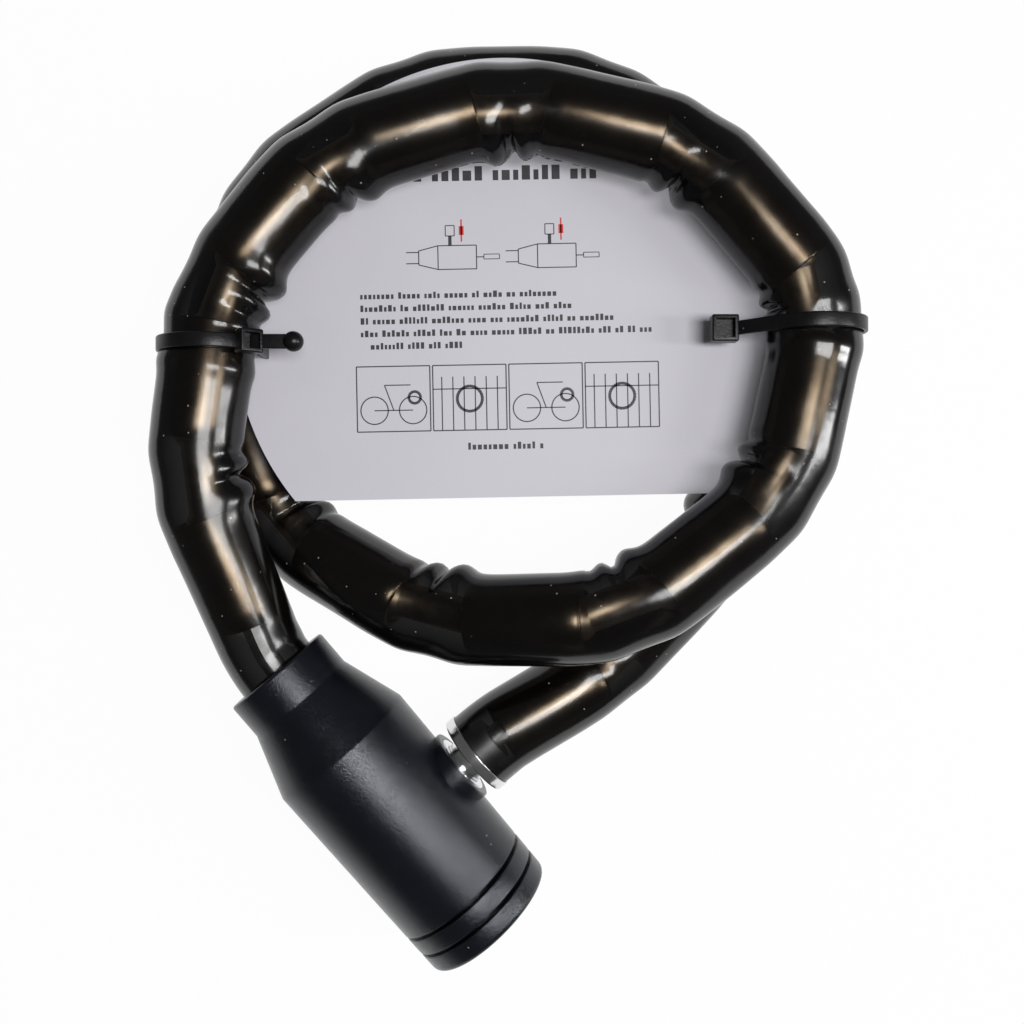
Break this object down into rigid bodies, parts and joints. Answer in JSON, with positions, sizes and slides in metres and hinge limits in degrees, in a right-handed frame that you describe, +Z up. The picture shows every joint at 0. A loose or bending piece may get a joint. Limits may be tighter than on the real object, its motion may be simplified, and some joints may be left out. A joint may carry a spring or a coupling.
{
  "type": "cable lock",
  "caption": "Armoured cable lock, coiled and tied round a card: steel sleeves on a rope in a clear sheath, a key housing and a pin that plugs into its side.",
  "frame": {"origin": "middle of the footprint's bounding box, on the surface that the lock lies on", "axes": "+Z up, away from that surface, through the coil; +Y from the key housing across the coil; +X to the right with the housing nearest the viewer"},
  "size_m": [0.1861, 0.2528, 0.0506],
  "materials": {
    "housing_black": "black, finely grained moulding",
    "zinc": "die-cast zinc, satin",
    "bright_metal": "turned and plated, bright",
    "brass": "machined brass",
    "sleeve_steel": "pressed steel, bright rolled",
    "rope_steel": "stranded steel wire",
    "spring_steel": "fine spring wire",
    "sheath_clear": "smoky clear soft plastic, glossy",
    "card": "light grey printed card",
    "tie_black": "black nylon"
  },
  "bodies": {
    "housing": {"housing_cover": "housing_black", "cover_band": "housing_black", "end_cap": "housing_black", "socket_bush": "bright_metal", "lock_body": "zinc", "cylinder_shell": "brass", "cylinder_pin": "spring_steel", "cable_anchor": "zinc", "anchor_pin": "spring_steel", "sheath": "sheath_clear", "sheath_tail": "sheath_clear", "core_rope": "rope_steel", "core_rope_tail": "rope_steel", "sleeve_01": "sleeve_steel", "sleeve_02": "sleeve_steel", "sleeve_03": "sleeve_steel", "sleeve_04": "sleeve_steel", "sleeve_05": "sleeve_steel", "sleeve_06": "sleeve_steel", "sleeve_07": "sleeve_steel", "sleeve_08": "sleeve_steel", "sleeve_09": "sleeve_steel", "sleeve_10": "sleeve_steel", "sleeve_11": "sleeve_steel", "sleeve_12": "sleeve_steel", "sleeve_13": "sleeve_steel", "sleeve_14": "sleeve_steel", "sleeve_15": "sleeve_steel", "sleeve_16": "sleeve_steel", "sleeve_17": "sleeve_steel", "sleeve_18": "sleeve_steel", "neck_bobbins": "sleeve_steel", "neck_bobbins_tail": "sleeve_steel", "instruction_card": "card", "cable_tie_left": "tie_black", "cable_tie_right": "tie_black"},
    "plug": {"plug": "brass", "plug_clip": "spring_steel", "wafer_springs": "spring_steel"},
    "wafers": {"wafer_1": "brass", "wafer_2": "brass", "wafer_3": "brass", "wafer_4": "brass", "wafer_5": "brass"},
    "bolt": {"locking_bolt": "zinc"},
    "connector": {"lock_pin": "bright_metal", "connector_cap": "bright_metal", "pin_ferrule": "zinc", "sleeve_19": "sleeve_steel"}
  },
  "joints": [
    {"name": "plug_turn", "type": "hinge", "parent": "housing", "child": "plug", "pos_m": [-0.00965, -0.1072, 0.01985], "axis": [0.6419, -0.765, -0.0523], "range_deg": [-90, 0]},
    {"name": "wafers_slide", "type": "slide", "parent": "plug", "child": "wafers", "axis": [0.0336, -0.0401, 0.9986], "range_m": [0, 0.0006], "deforming": ["wafer_springs"]},
    {"name": "bolt_slide", "type": "slide", "parent": "housing", "child": "bolt", "axis": [0.0336, -0.0401, 0.9986], "range_m": [-0.00382, 0]},
    {"name": "connector_slide", "type": "slide", "parent": "housing", "child": "connector", "axis": [0.766, 0.6428, 0], "range_m": [0, 0.0235], "deforming": ["sheath_tail", "core_rope_tail", "sleeve_17", "sleeve_18", "neck_bobbins_tail"]}
  ],
  "couplings": [
    {"joint": "bolt_slide", "follows": "plug_turn", "m_per_rad": 0.0024309}
  ]
}
